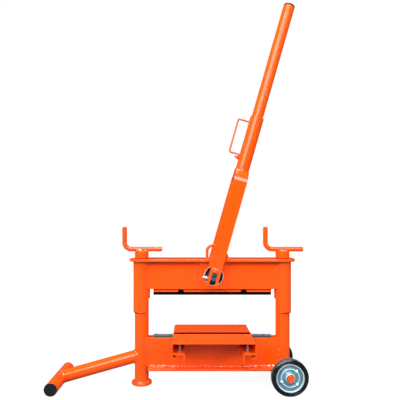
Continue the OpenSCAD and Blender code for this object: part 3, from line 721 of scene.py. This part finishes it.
def crossheadBeads(mesh):
    low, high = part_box("beam_front_plate")
    plateLow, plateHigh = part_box("pivot_plate_front")
    web, plate = -low.y, -plateLow.y
    spans = ((leftPost.x + chord(sleeveRadius, web), plateLow.x, web), (plateLow.x, plateHigh.x, plate),
             (plateHigh.x, rightPost.x - chord(sleeveRadius, web), web))
    for side in (-1, 1):
        for x0, x1, y in spans:
            lineBead(mesh, (x0, side * y, high.z), (x1, side * y, high.z), "plate")
        for post, way in ((leftPost, 1), (rightPost, -1)):
            x = post.x + way * chord(sleeveRadius, web)
            lineBead(mesh, (x, side * web, low.z), (x, side * web, high.z), "sleeve")
        for x in (plateLow.x, plateHigh.x):
            lineBead(mesh, (x, side * web, plateLow.z), (x, side * web, high.z), "plate")
    for post in (leftPost, rightPost):
        rim = Vector((post.x, 0, high.z))
        addBead(mesh, ringPath(rim, sleeveRadius, xWay, yWay), weldSize["sleeve"], True)
    loopLow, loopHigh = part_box("lifting_loop")
    for x in (loopLow.x + loopRadius * loopFeet[0], loopHigh.x - loopRadius * loopFeet[1]):
        rim = Vector((x, (loopLow.y + loopHigh.y) / 2, loopLow.z))
        addBead(mesh, ringPath(rim, loopRadius, xWay, yWay, 24), weldSize["loop"], True)


def leverPoint(along, left, depth):
    return leverPivot + leverUp * along + leverLeft * left + yWay * depth


def leverBeads(mesh):
    points = prongArch["points"]
    shares = [2 * k / (points - 1) - 1 for k in range(points)]
    for side in (-1, 1):
        for rise, width in prongArches:
            foot = prongArch["top"] + rise
            half = prongArch["half"] * width
            arch = [leverPoint(foot + prongArch["crown"] * (1 - t * t), half * t, side * prongArch["face"])
                    for t in shares]
            addBead(mesh, arch, weldSize["prong"])
    foot = leverPoint(leverReach("lever_socket"), armLeft, 0)
    addBead(mesh, ringPath(foot, socketRadius, leverLeft, yWay), weldSize["socket"], True)
    for along in holderFeet:
        start = leverPoint(along, armLeft + 2 * socketRadius, 0)
        seam = pipeSeam(start, -leverLeft, wireRadius, foot, leverUp, socketRadius, 20)
        addBead(mesh, seam, weldSize["wire"], True)


def leverReach(node):
    corners = [nodes[node].matrix_world @ v.co for v in nodes[node].data.vertices]
    return min((corner - leverPivot).dot(leverUp) for corner in corners)


def crankBeads(mesh, side):
    hubLow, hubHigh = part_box(side + "_crank_hub")
    axis = (hubLow + hubHigh) / 2
    half = chord((hubHigh.x - hubLow.x) / 2, crankSeam["out"]) - crankSeam["short"]
    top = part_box(side + "_crank_bar")[0].z + crankSeam["up"]
    for way in (-1, 1):
        y = way * crankSeam["out"]
        lineBead(mesh, (axis.x - half, y, top), (axis.x + half, y, top), "crank")


def leftCrankBeads(mesh):
    crankBeads(mesh, "left")


def rightCrankBeads(mesh):
    crankBeads(mesh, "right")


beadJobs = {
    "baseWelds": ("base", baseBeads),
    "crossheadWelds": ("crosshead", crossheadBeads),
    "leverWelds": ("lever", leverBeads),
    "leftCrankWelds": ("left_crank", leftCrankBeads),
    "rightCrankWelds": ("right_crank", rightCrankBeads),
}
for beadName, (beadBody, lay) in beadJobs.items():
    beads = bmesh.new()
    lay(beads)
    makePiece(beadName, beads, "orange_paint", beadBody, (), ("weldPaint",))
print("weld beads laid")

# Springs, closed and ground at both ends

springLook = {
    "sides": 10, "perTurn": 26, "flatTurns": 0.9, "closedPitch": 1.02,
    "endSize": 0.55, "endTurns": 0.5,   # the wire thins to its ground ends
}
tableSpring = {"radius": 0.0074, "wire": 0.0020, "turns": 6.6, "travel": 0.008}
returnSpring = {"radius": 0.0086, "wire": 0.0022, "turns": 5.6}


def addSpring(mesh, foot, height, spring):
    wire = spring["wire"]
    count = round(spring["turns"] * springLook["perTurn"])
    flat = springLook["flatTurns"] / spring["turns"]
    closedRise = wire * springLook["closedPitch"] * springLook["flatTurns"]
    rise = height - wire
    path = []
    for i in range(count + 1):
        f = i / count
        angle = 2 * math.pi * spring["turns"] * f
        if f < flat:
            z = closedRise * f / flat
        elif f > 1 - flat:
            z = rise - closedRise * (1 - f) / flat
        else:
            ease = (f - flat) / (1 - 2 * flat)
            z = closedRise + (rise - 2 * closedRise) * ease
        around = spring["radius"] * (math.cos(angle) * xWay + math.sin(angle) * yWay)
        path.append(foot + around + zWay * (z + wire / 2))
    ending = springLook["endTurns"] * springLook["perTurn"]
    endSize = springLook["endSize"]
    sizes = [min(1.0, endSize + (1 - endSize) * min(i, count - i) / ending) for i in range(count + 1)]
    addSweep(mesh, path, [wire / 2 * size for size in sizes], springLook["sides"])


def windSprings(name, node, spring, body):
    low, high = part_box(node)
    tall = high.z - low.z
    reach = spring["radius"] + spring["wire"] / 2
    coils = bmesh.new()
    for x in (low.x + reach, high.x - reach):
        addSpring(coils, Vector((x, (low.y + high.y) / 2, low.z)), tall, spring)
    piece = makePiece(name, coils, "spring_steel", body, (node,))
    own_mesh(piece)


for half in ("front", "rear"):
    windSprings(half + "TableSprings", "table_" + half + "_springs", tableSpring, "base")
windSprings("returnSprings", "return_springs", returnSpring, "crosshead")
print("springs wound")

# Painted shadow where the crosshead slides: dark red lines at the foot of its sleeves and under its plates

sleeveShadowLine = {"radius": 0.0022, "gap": 0.0004, "drop": 0.0018, "pastPlate": 0.0055, "arc": 48, "sides": 8}
plateShadowLine = {
    "radius": 0.0022, "gap": 0.0022, "drop": 0.0010, "step": 0.006,
    "wander": 0.12, "scale": 80.0, "sides": 8,
}


def shadeUnderSleeves(mesh, shadowLine):
    ring = postRadius + shadowLine["gap"] + shadowLine["radius"]
    cut = shadowLine["pastPlate"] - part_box("beam_front_plate")[0].y
    start = math.asin(cut / ring)
    for side, post, way in (("left", leftPost, 1), ("right", rightPost, -1)):
        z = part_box(side + "_sleeve")[0].z - shadowLine["drop"]
        turns = [start + (2 * math.pi - 2 * start) * k / shadowLine["arc"] for k in range(shadowLine["arc"] + 1)]
        path = [Vector((post.x + way * ring * math.cos(a), -ring * math.sin(a), z)) for a in turns]
        addSweep(mesh, path, [shadowLine["radius"]] * len(path), shadowLine["sides"])


def shadeUnderPlates(mesh, shadowLine):
    carrierLow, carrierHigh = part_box("blade_carrier")
    plateLow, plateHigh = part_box("beam_front_plate")
    span = carrierHigh.x - carrierLow.x
    count = round(span / shadowLine["step"])
    z = plateLow.z - shadowLine["drop"]
    for side in (-1, 1):
        y = side * (shadowLine["gap"] - plateHigh.y)
        line = [Vector((carrierLow.x + span * i / count, y, z)) for i in range(count + 1)]
        thins = [shadowLine["wander"] * abs(noise.noise(p * shadowLine["scale"])) for p in line]
        addSweep(mesh, line, [shadowLine["radius"] * (1 - thin) for thin in thins], shadowLine["sides"])


shadowLineMesh = bmesh.new()
shadeUnderSleeves(shadowLineMesh, sleeveShadowLine)
shadeUnderPlates(shadowLineMesh, plateShadowLine)
makePiece("paintedShadowLines", shadowLineMesh, "orange_paint", "crosshead", (), ("paintedShadowPaint",))
print("slides greased")

# Lower blade: flame cut bar, its ridge worn uneven; its foot, its ridge under the table and the seams beside it
# are black as painted shade

lowerBlade = {
    "step": 0.0025,
    "shoulder": 0.0110,
    "halfRidge": 0.0075,
    "topHalf": 0.0016,
    "shadeBandRise": 0.0016,   # painted shade band at the ridge's foot
    "footIn": 0.3,   # its slope
    "toe": 0.0004,
    "flank": (0.62, 0.5),   # middle of the ridge's flank, in shares of its half width and its rise
    "crown": 0.0008,
    "wear": 0.0022,
    "wearScale": (45.0, 3.7, 1.3),
    "edge": 0.0009,
    "edgeScale": (70.0, 5.1, 8.2),
    "slotRise": 0.0005,   # unworn between the table halves
}
bladeShadeSeam = {
    "radius": 0.0042, "sink": 0.0026, "out": 0.0026, "clear": 0.0035, "step": 0.004,
    "wander": 0.05, "scale": 90.0, "sides": 28,
}


def noiseRow(x, count, scale):
    return [noise.noise(Vector((x * scale[0], k * scale[1], scale[2]))) for k in range(count)]


def makeLowerBlade(bar):
    low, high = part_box("lower_blade")
    half = (high.y - low.y) / 2
    shoulder = high.z - bar["shoulder"]
    rise = high.z - shoulder
    ridge = bar["halfRidge"]
    foot = ridge - bar["shadeBandRise"] * bar["footIn"]
    out, up = bar["flank"]
    toe = shoulder + bar["toe"]
    footTop = shoulder + bar["shadeBandRise"]
    crown = high.z - bar["crown"]
    count = round((high.x - low.x) / bar["step"])
    rings = []
    mesh = bmesh.new()
    tableLow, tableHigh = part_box("table_front")
    for i in range(count + 1):
        x = low.x + (high.x - low.x) * i / count
        dip = [abs(n) * bar["wear"] for n in noiseRow(x, 5, bar["wearScale"])]
        if tableLow.x < x < tableHigh.x:
            dip = [-bar["slotRise"]] * 5
        side = [n * bar["edge"] for n in noiseRow(x, 4, bar["edgeScale"])]
        outline = [
            (-half, low.z), (half, low.z), (half, shoulder), (ridge, toe), (foot, footTop),
            (ridge * out + side[0], shoulder + (rise - dip[0]) * up),
            (bar["topHalf"] + side[1], crown - dip[1]),
            (0.0, high.z - dip[2]),
            (-bar["topHalf"] + side[2], crown - dip[3]),
            (-ridge * out + side[3], shoulder + (rise - dip[4]) * up),
            (-foot, footTop), (-ridge, toe), (-half, shoulder),
        ]
        rings.append([mesh.verts.new((x, y, z)) for y, z in outline])
    sides = len(rings[0])
    paintedShadeSides = (2, 3, sides - 4, sides - 3, sides - 2)
    for i, panel in enumerate(joinRings(mesh, rings)):
        # painted shade: black on the ridge inside the table's slot, near black on the foot band
        underTable = tableLow.x < panel.calc_center_median().x < tableHigh.x
        panel.material_index = 2 if underTable else int(i % sides in paintedShadeSides)
    coats = ("rawSteel", "paintedShadeBlack", "blackSteelAndShade")
    makePiece("lowerBlade", mesh, "raw_steel", "base", ("lower_blade",), coats)


# seams on the plates' tops, near black as painted shade of the gap beside the blade
def makeBladeShadeSeams(seam):
    bladeLow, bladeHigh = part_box("lower_blade")
    tableLow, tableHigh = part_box("table_front")
    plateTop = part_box("lower_front_plate")[1].z
    mesh = bmesh.new()
    for x0, x1 in ((bladeLow.x, tableLow.x - seam["clear"]), (tableHigh.x + seam["clear"], bladeHigh.x)):
        for y in (bladeLow.y - seam["out"], bladeHigh.y + seam["out"]):
            count = round((x1 - x0) / seam["step"])
            z = plateTop - seam["sink"]
            line = [Vector((x0 + (x1 - x0) * i / count, y, z)) for i in range(count + 1)]
            swells = [seam["wander"] * noise.noise(p * seam["scale"]) for p in line]
            addSweep(mesh, line, [seam["radius"] * (1 + swell) for swell in swells], seam["sides"])
    makePiece("bladeShadeSeams", mesh, "raw_steel", "base", (), ("paintedShadeBlack",))


makeLowerBlade(lowerBlade)
makeBladeShadeSeams(bladeShadeSeam)
print("lower blade cut")

# Slot in the table: black strips along its cut edges, painted shade of the slot

slotShadeStrip = {
    "step": 0.006, "proud": 0.0006, "sink": 0.0030, "corner": 0.0004, "inset": 0.004,
    "sheet": 0.003, "crust": 0.00015,   # crust: how far the black strip stands above the sheet
    "wander": 0.00015, "wanderScale": 120.0, "wanderRow": 0.7,
}


def makeSlotShadeStrips(edge):
    for half, way in (("front", 1), ("rear", -1)):
        low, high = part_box("table_" + half)
        face = high.y if way > 0 else low.y
        x0, x1 = low.x + edge["inset"], high.x - edge["inset"]
        count = round((x1 - x0) / edge["step"])
        z0 = high.z - edge["sheet"] + edge["crust"]
        z1 = high.z + edge["crust"]
        corner = edge["corner"]
        back = face - way * edge["sink"]
        mesh = bmesh.new()
        rings = []
        for i in range(count + 1):
            x = x0 + (x1 - x0) * i / count
            rough = noise.noise(Vector((x * edge["wanderScale"], face, edge["wanderRow"])))
            out = face + way * (edge["proud"] + edge["wander"] * rough)
            inner = out - way * corner
            outline = (
                (back, z0), (inner, z0), (out, z0 + corner), (out, z1 - corner), (inner, z1), (back, z1),
            )
            rings.append([mesh.verts.new((x, y, z)) for y, z in outline])
        joinRings(mesh, rings)
        makePiece(half + "SlotShadeStrip", mesh, "black_steel", half + "_table")


makeSlotShadeStrips(slotShadeStrip)
print("table slot edged")

# Pivot bushes: zinc lip lightened as painted highlight round a recess blackened as painted shade

bushLook = {"bore": 0.02205, "lipWidth": 0.002, "recess": 0.0045, "chamfer": 0.0006, "segments": 96}
shaftCentre = {   # turning centre: radius and height of its rim, and the dimple as shares of them; the dimple is black as painted shade
    "radius": 0.0042, "proud": 0.0004, "up": 0.003, "hole": 0.15, "land": 0.8, "dish": 0.4, "segments": 40,
}


def makeBushes(bush):
    low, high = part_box("pivot_bushes")
    radius = (high.z - low.z) / 2
    back = -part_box("beam_front_plate")[1].y
    face = high.y
    floor = face - bush["recess"]
    wall = radius - bush["lipWidth"]
    edge = bush["chamfer"]
    profile = [
        (bush["bore"], back), (bush["bore"], floor), (wall, floor), (wall, face - edge), (wall + edge, face),
        (radius - edge, face), (radius, face - edge), (radius, back),
    ]
    shaded = 1   # the recess's floor, second band of the profile, black as painted shade
    rings = bmesh.new()
    for out in (-yWay, yWay):
        for i, panel in enumerate(addLathe(rings, profile, leverPivot, out, bush["segments"])):
            panel.material_index = int(i // bush["segments"] == shaded)
    coats = ("zincPaintedHighlight", "paintedShadeBlack")
    makePiece("pivotBushes", rings, "zinc_plate", "crosshead", ("pivot_bushes",), coats)


def makeShaftCentres(spot):
    low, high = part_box("cam_shaft")
    rim, proud = spot["radius"], spot["proud"]
    hole, land, dish = rim * spot["hole"], rim * spot["land"], proud * spot["dish"]
    profile = [(hole, 0.0), (hole, dish), (land, dish), (rim, proud), (rim, 0.0)]
    marks = bmesh.new()
    for out, face in ((-yWay, low.y), (yWay, high.y)):
        centre = Vector((leverPivot.x, face, leverPivot.z)) + leverUp * spot["up"]
        addLathe(marks, profile, centre, out, spot["segments"])
    makePiece("shaftCentres", marks, "machined_steel", "lever", (), ("paintedShadeBlack",))


makeBushes(bushLook)
makeShaftCentres(shaftCentre)
print("pivot bushes turned")

# Wheels: moulded tyre on a pressed rim

tyreProfile = (  # millimetres: from the axle out, down from the wheel's face
    (47.6, 4.0), (48.4, 1.4), (49.4, 0.3), (50.8, 0.2), (52.4, 1.2), (54.8, 1.7), (56.4, 0.7), (57.6, 0.8),
    (58.2, 1.8), (58.8, 1.9), (60.2, 2.7), (62.6, 4.2), (63.3, 6.6), (63.5, 9.4), (63.5, 13.4), (62.7, 14.2),
    (62.7, 15.0),
)
rimProfile = (
    (10.05, 0.2), (13.0, 0.0), (14.2, 0.6), (16.5, 4.4), (20.5, 5.6), (22.0, 7.6), (26.6, 8.0), (28.2, 5.0),
    (29.6, 3.9), (31.6, 3.9), (33.0, 5.4), (34.6, 9.6), (41.4, 9.8), (43.2, 6.4), (44.4, 2.6), (46.0, 1.2),
    (47.4, 1.4), (48.0, 2.6),
)
rimTabs = {   # pressed tabs on the raised ring, angles in degrees
    "angles": (46, 201, 318), "middle": 0.0318, "length": 0.0054, "width": 0.0036,
    "height": 0.0040, "edge": 0.4,
}
wheelBands = {   # metres from the axle: a ring of painted shade round the axle cap, bands of painted highlight
    "paintedShadeRing": 0.0130,
    "paintedHighlightBands": ((0.0130, 0.0165), (0.0288, 0.0328), (0.0436, 0.0490)),   # painted highlight on the hub cone, raised ring and lip
    "tread": 0.0626,
}
wheelMesh = {"segments": 192, "tyreRounds": 2, "rimRounds": 1, "unit": 1000}


def tabLift(radius, angle):
    raised = 0.0
    for degrees in rimTabs["angles"]:
        gap = (angle - math.radians(degrees) + math.pi) % (2 * math.pi) - math.pi
        across = gap * radius / rimTabs["width"]
        along = (radius - rimTabs["middle"]) / rimTabs["length"]
        raised += math.exp(-across ** 4) * math.exp(-along ** 4)
    return rimTabs["height"] * raised


def wheelOutline(points, rounds, halfWidth):
    unit = wheelMesh["unit"]
    face = [(r / unit, halfWidth - drop / unit) for r, drop in cutCorners(points, rounds)]
    return face + [(r, -along) for r, along in reversed(face)]


# tabs white and bands lightened as painted highlight, the ring round the axle cap black as painted shade
def rimCoat(radius, angle):
    if tabLift(radius, angle) > rimTabs["edge"] * rimTabs["height"]:
        return 2
    if radius < wheelBands["paintedShadeRing"]:
        return 3
    return int(any(inner <= radius <= outer for inner, outer in wheelBands["paintedHighlightBands"]))


def makeWheel(name, out):
    centre = middle(name + "_tyre")
    halfWidth = halfSize(name + "_tyre", yWay)
    segments = wheelMesh["segments"]
    body = name + "_wheel"
    tyre = bmesh.new()
    tread = wheelOutline(tyreProfile, wheelMesh["tyreRounds"], halfWidth)
    for panel in addLathe(tyre, tread, centre, out, segments):
        spoke = panel.calc_center_median() - centre
        panel.material_index = int(math.hypot(spoke.x, spoke.z) > wheelBands["tread"])
    makePiece(name + "Tyre", tyre, "tyre_rubber", body, (name + "_tyre",), ("tyreRubber", "tyreTread"))
    rim = bmesh.new()
    pressed = wheelOutline(rimProfile, wheelMesh["rimRounds"], halfWidth)
    for panel in addLathe(rim, pressed, centre, out, segments):
        spoke = panel.calc_center_median() - centre
        panel.material_index = rimCoat(math.hypot(spoke.x, spoke.z), math.atan2(spoke.z, spoke.x))
    for vertex in rim.verts:
        spoke = vertex.co - centre
        along = spoke.dot(out)
        flat = flatten(spoke, out)
        lift = tabLift(flat.length, math.atan2(flat.z, flat.x))
        vertex.co += out * math.copysign(lift, along)
    coats = ("rimZinc", "rimPaintedHighlight", "rimTabPaintedHighlight", "paintedShadeBlack")
    makePiece(name + "Rim", rim, "zinc_plate", body, (name + "_rim",), coats)


makeWheel("front", -yWay)
makeWheel("rear", yWay)
print("wheels made")

# Stage: pale floor, soft light

studio = {
    "floorSize": 14.0,
    "floorTone": (0.12, 0.12, 0.12),
    "floorLift": (0.90, 1.0),   # near the machine and far from it
    "liftReach": (0.7, 2.6),
    "skyLight": 0.05,
    "backdrop": 0.06,   # what gloss shows of the side behind the machine
    "darkSide": 0.03,   # and of the unlit side that the camera stands on
    "sideBlend": (-0.25, 0.75),
    "floorRough": 0.9,
}
white = (1.0, 1.0, 1.0, 1.0)


def makeFloor(stage):
    mesh = bpy.data.meshes.new("studioFloor")
    half = stage["floorSize"] / 2
    corners = [(-half, -half, 0), (half, -half, 0), (half, half, 0), (-half, half, 0)]
    mesh.from_pydata(corners, [], [(0, 1, 2, 3)])
    floor = bpy.data.objects.new("studioFloor", mesh)
    scene.collection.objects.link(floor)
    material, tree, shader = startFinish("studioFloor")
    shader.inputs["Base Color"].default_value = (*stage["floorTone"], 1.0)
    shader.inputs["Roughness"].default_value = stage["floorRough"]
    shader.inputs["Specular IOR Level"].default_value = 0.0
    path = addNode(tree, "ShaderNodeLightPath")
    reach = addNode(tree, "ShaderNodeVectorMath", operation="LENGTH")
    tree.links.new(addNode(tree, "ShaderNodeTexCoord").outputs["Object"], reach.inputs[0])
    lift = rangeNode(tree, reach.outputs["Value"], *stage["liftReach"], *stage["floorLift"])
    glow = mathNode(tree, "MULTIPLY", path.outputs["Is Camera Ray"], lift)
    shader.inputs["Emission Color"].default_value = white
    tree.links.new(glow, shader.inputs["Emission Strength"])
    mesh.materials.append(material)


def makeSky(stage):
    world = bpy.data.worlds.new("studioSky")
    scene.world = world
    world.use_nodes = True
    tree = world.node_tree
    tree.nodes.clear()
    out = addNode(tree, "ShaderNodeOutputWorld")
    path = addNode(tree, "ShaderNodeLightPath")
    split = addNode(tree, "ShaderNodeSeparateXYZ")
    tree.links.new(addNode(tree, "ShaderNodeTexCoord").outputs["Generated"], split.inputs[0])
    level = rangeNode(tree, split.outputs["Y"], *stage["sideBlend"], stage["darkSide"], stage["backdrop"])
    clear = mathNode(tree, "MAXIMUM", path.outputs["Is Camera Ray"], path.outputs["Is Transmission Ray"])
    shades = (
        ("sky", stage["skyLight"], None),
        ("gloss", level, path.outputs["Is Glossy Ray"]),
        ("seen", 1.0, clear),
    )
    blended = None
    for name, strength, rays in shades:
        shade = addNode(tree, "ShaderNodeBackground", name=name)
        shade.inputs["Color"].default_value = white
        if isinstance(strength, float):
            shade.inputs["Strength"].default_value = strength
        else:
            tree.links.new(strength, shade.inputs["Strength"])
        if blended is None:
            blended = shade.outputs[0]
            continue
        blend = addNode(tree, "ShaderNodeMixShader")
        tree.links.new(rays, blend.inputs["Fac"])
        tree.links.new(blended, blend.inputs[1])
        tree.links.new(shade.outputs[0], blend.inputs[2])
        blended = blend.outputs[0]
    tree.links.new(blended, out.inputs["Surface"])


softBoxes = {   # at, aim and size in metres, power in watts, roll in degrees
    "keyBox": {
        "at": (-3.7, -2.1, 2.1), "aim": (0.1, 0, 0.6), "size": (4.6, 2.4), "power": 175, "gloss": False,
    },
    "frontBox": {
        "at": (-1.2, -3.5, 3.1), "aim": (0.1, 0, 0.5), "size": (3.2, 3.0), "power": 170, "gloss": True,
    },
    "topBox": {
        "at": (0.1, -0.7, 3.0), "aim": (0.1, 0, 0.3), "size": (1.2, 0.8), "power": 44, "gloss": True,
    },
    "edgeBox": {
        "at": (-2.6, 0.8, 2.4), "aim": (0.1, 0, 0.4), "size": (1.2, 1.6), "power": 46, "gloss": False,
    },
    "fillBox": {
        "at": (3.3, -3.1, 1.8), "aim": (0.1, 0, 0.5), "size": (1.6, 1.8), "power": 105, "gloss": False,
    },
    "backBox": {
        "at": (0.9, 3.4, 2.8), "aim": (0.1, 0, 0.5), "size": (3.0, 2.0), "power": 120, "gloss": False,
    },
    "bendBox": {   # strip seen in the bends of the fork
        "at": (0.949, -1.824, 2.508), "aim": (0.218, -0.056, 0.748), "size": (0.7, 2.5), "power": 26,
        "gloss": True, "roll": -28.5,
    },
}


def makeLights(boxes):
    for name, box in boxes.items():
        lamp = bpy.data.lights.new(name, "AREA")
        lamp.shape = "RECTANGLE"
        lamp.size, lamp.size_y = box["size"]
        lamp.energy = box["power"]
        holder = bpy.data.objects.new(name, lamp)
        holder.location = box["at"]
        holder.visible_glossy = box["gloss"]
        aim = Vector(box["aim"]) - Vector(box["at"])
        turn = Quaternion((0, 0, 1), math.radians(box.get("roll", 0)))
        holder.rotation_euler = (aim.to_track_quat("-Z", "Y") @ turn).to_euler()
        scene.collection.objects.link(holder)


makeFloor(studio)
makeSky(studio)
makeLights(softBoxes)
scene.view_settings.view_transform = "Standard"
print("studio ready")

bpy.context.view_layer.update()
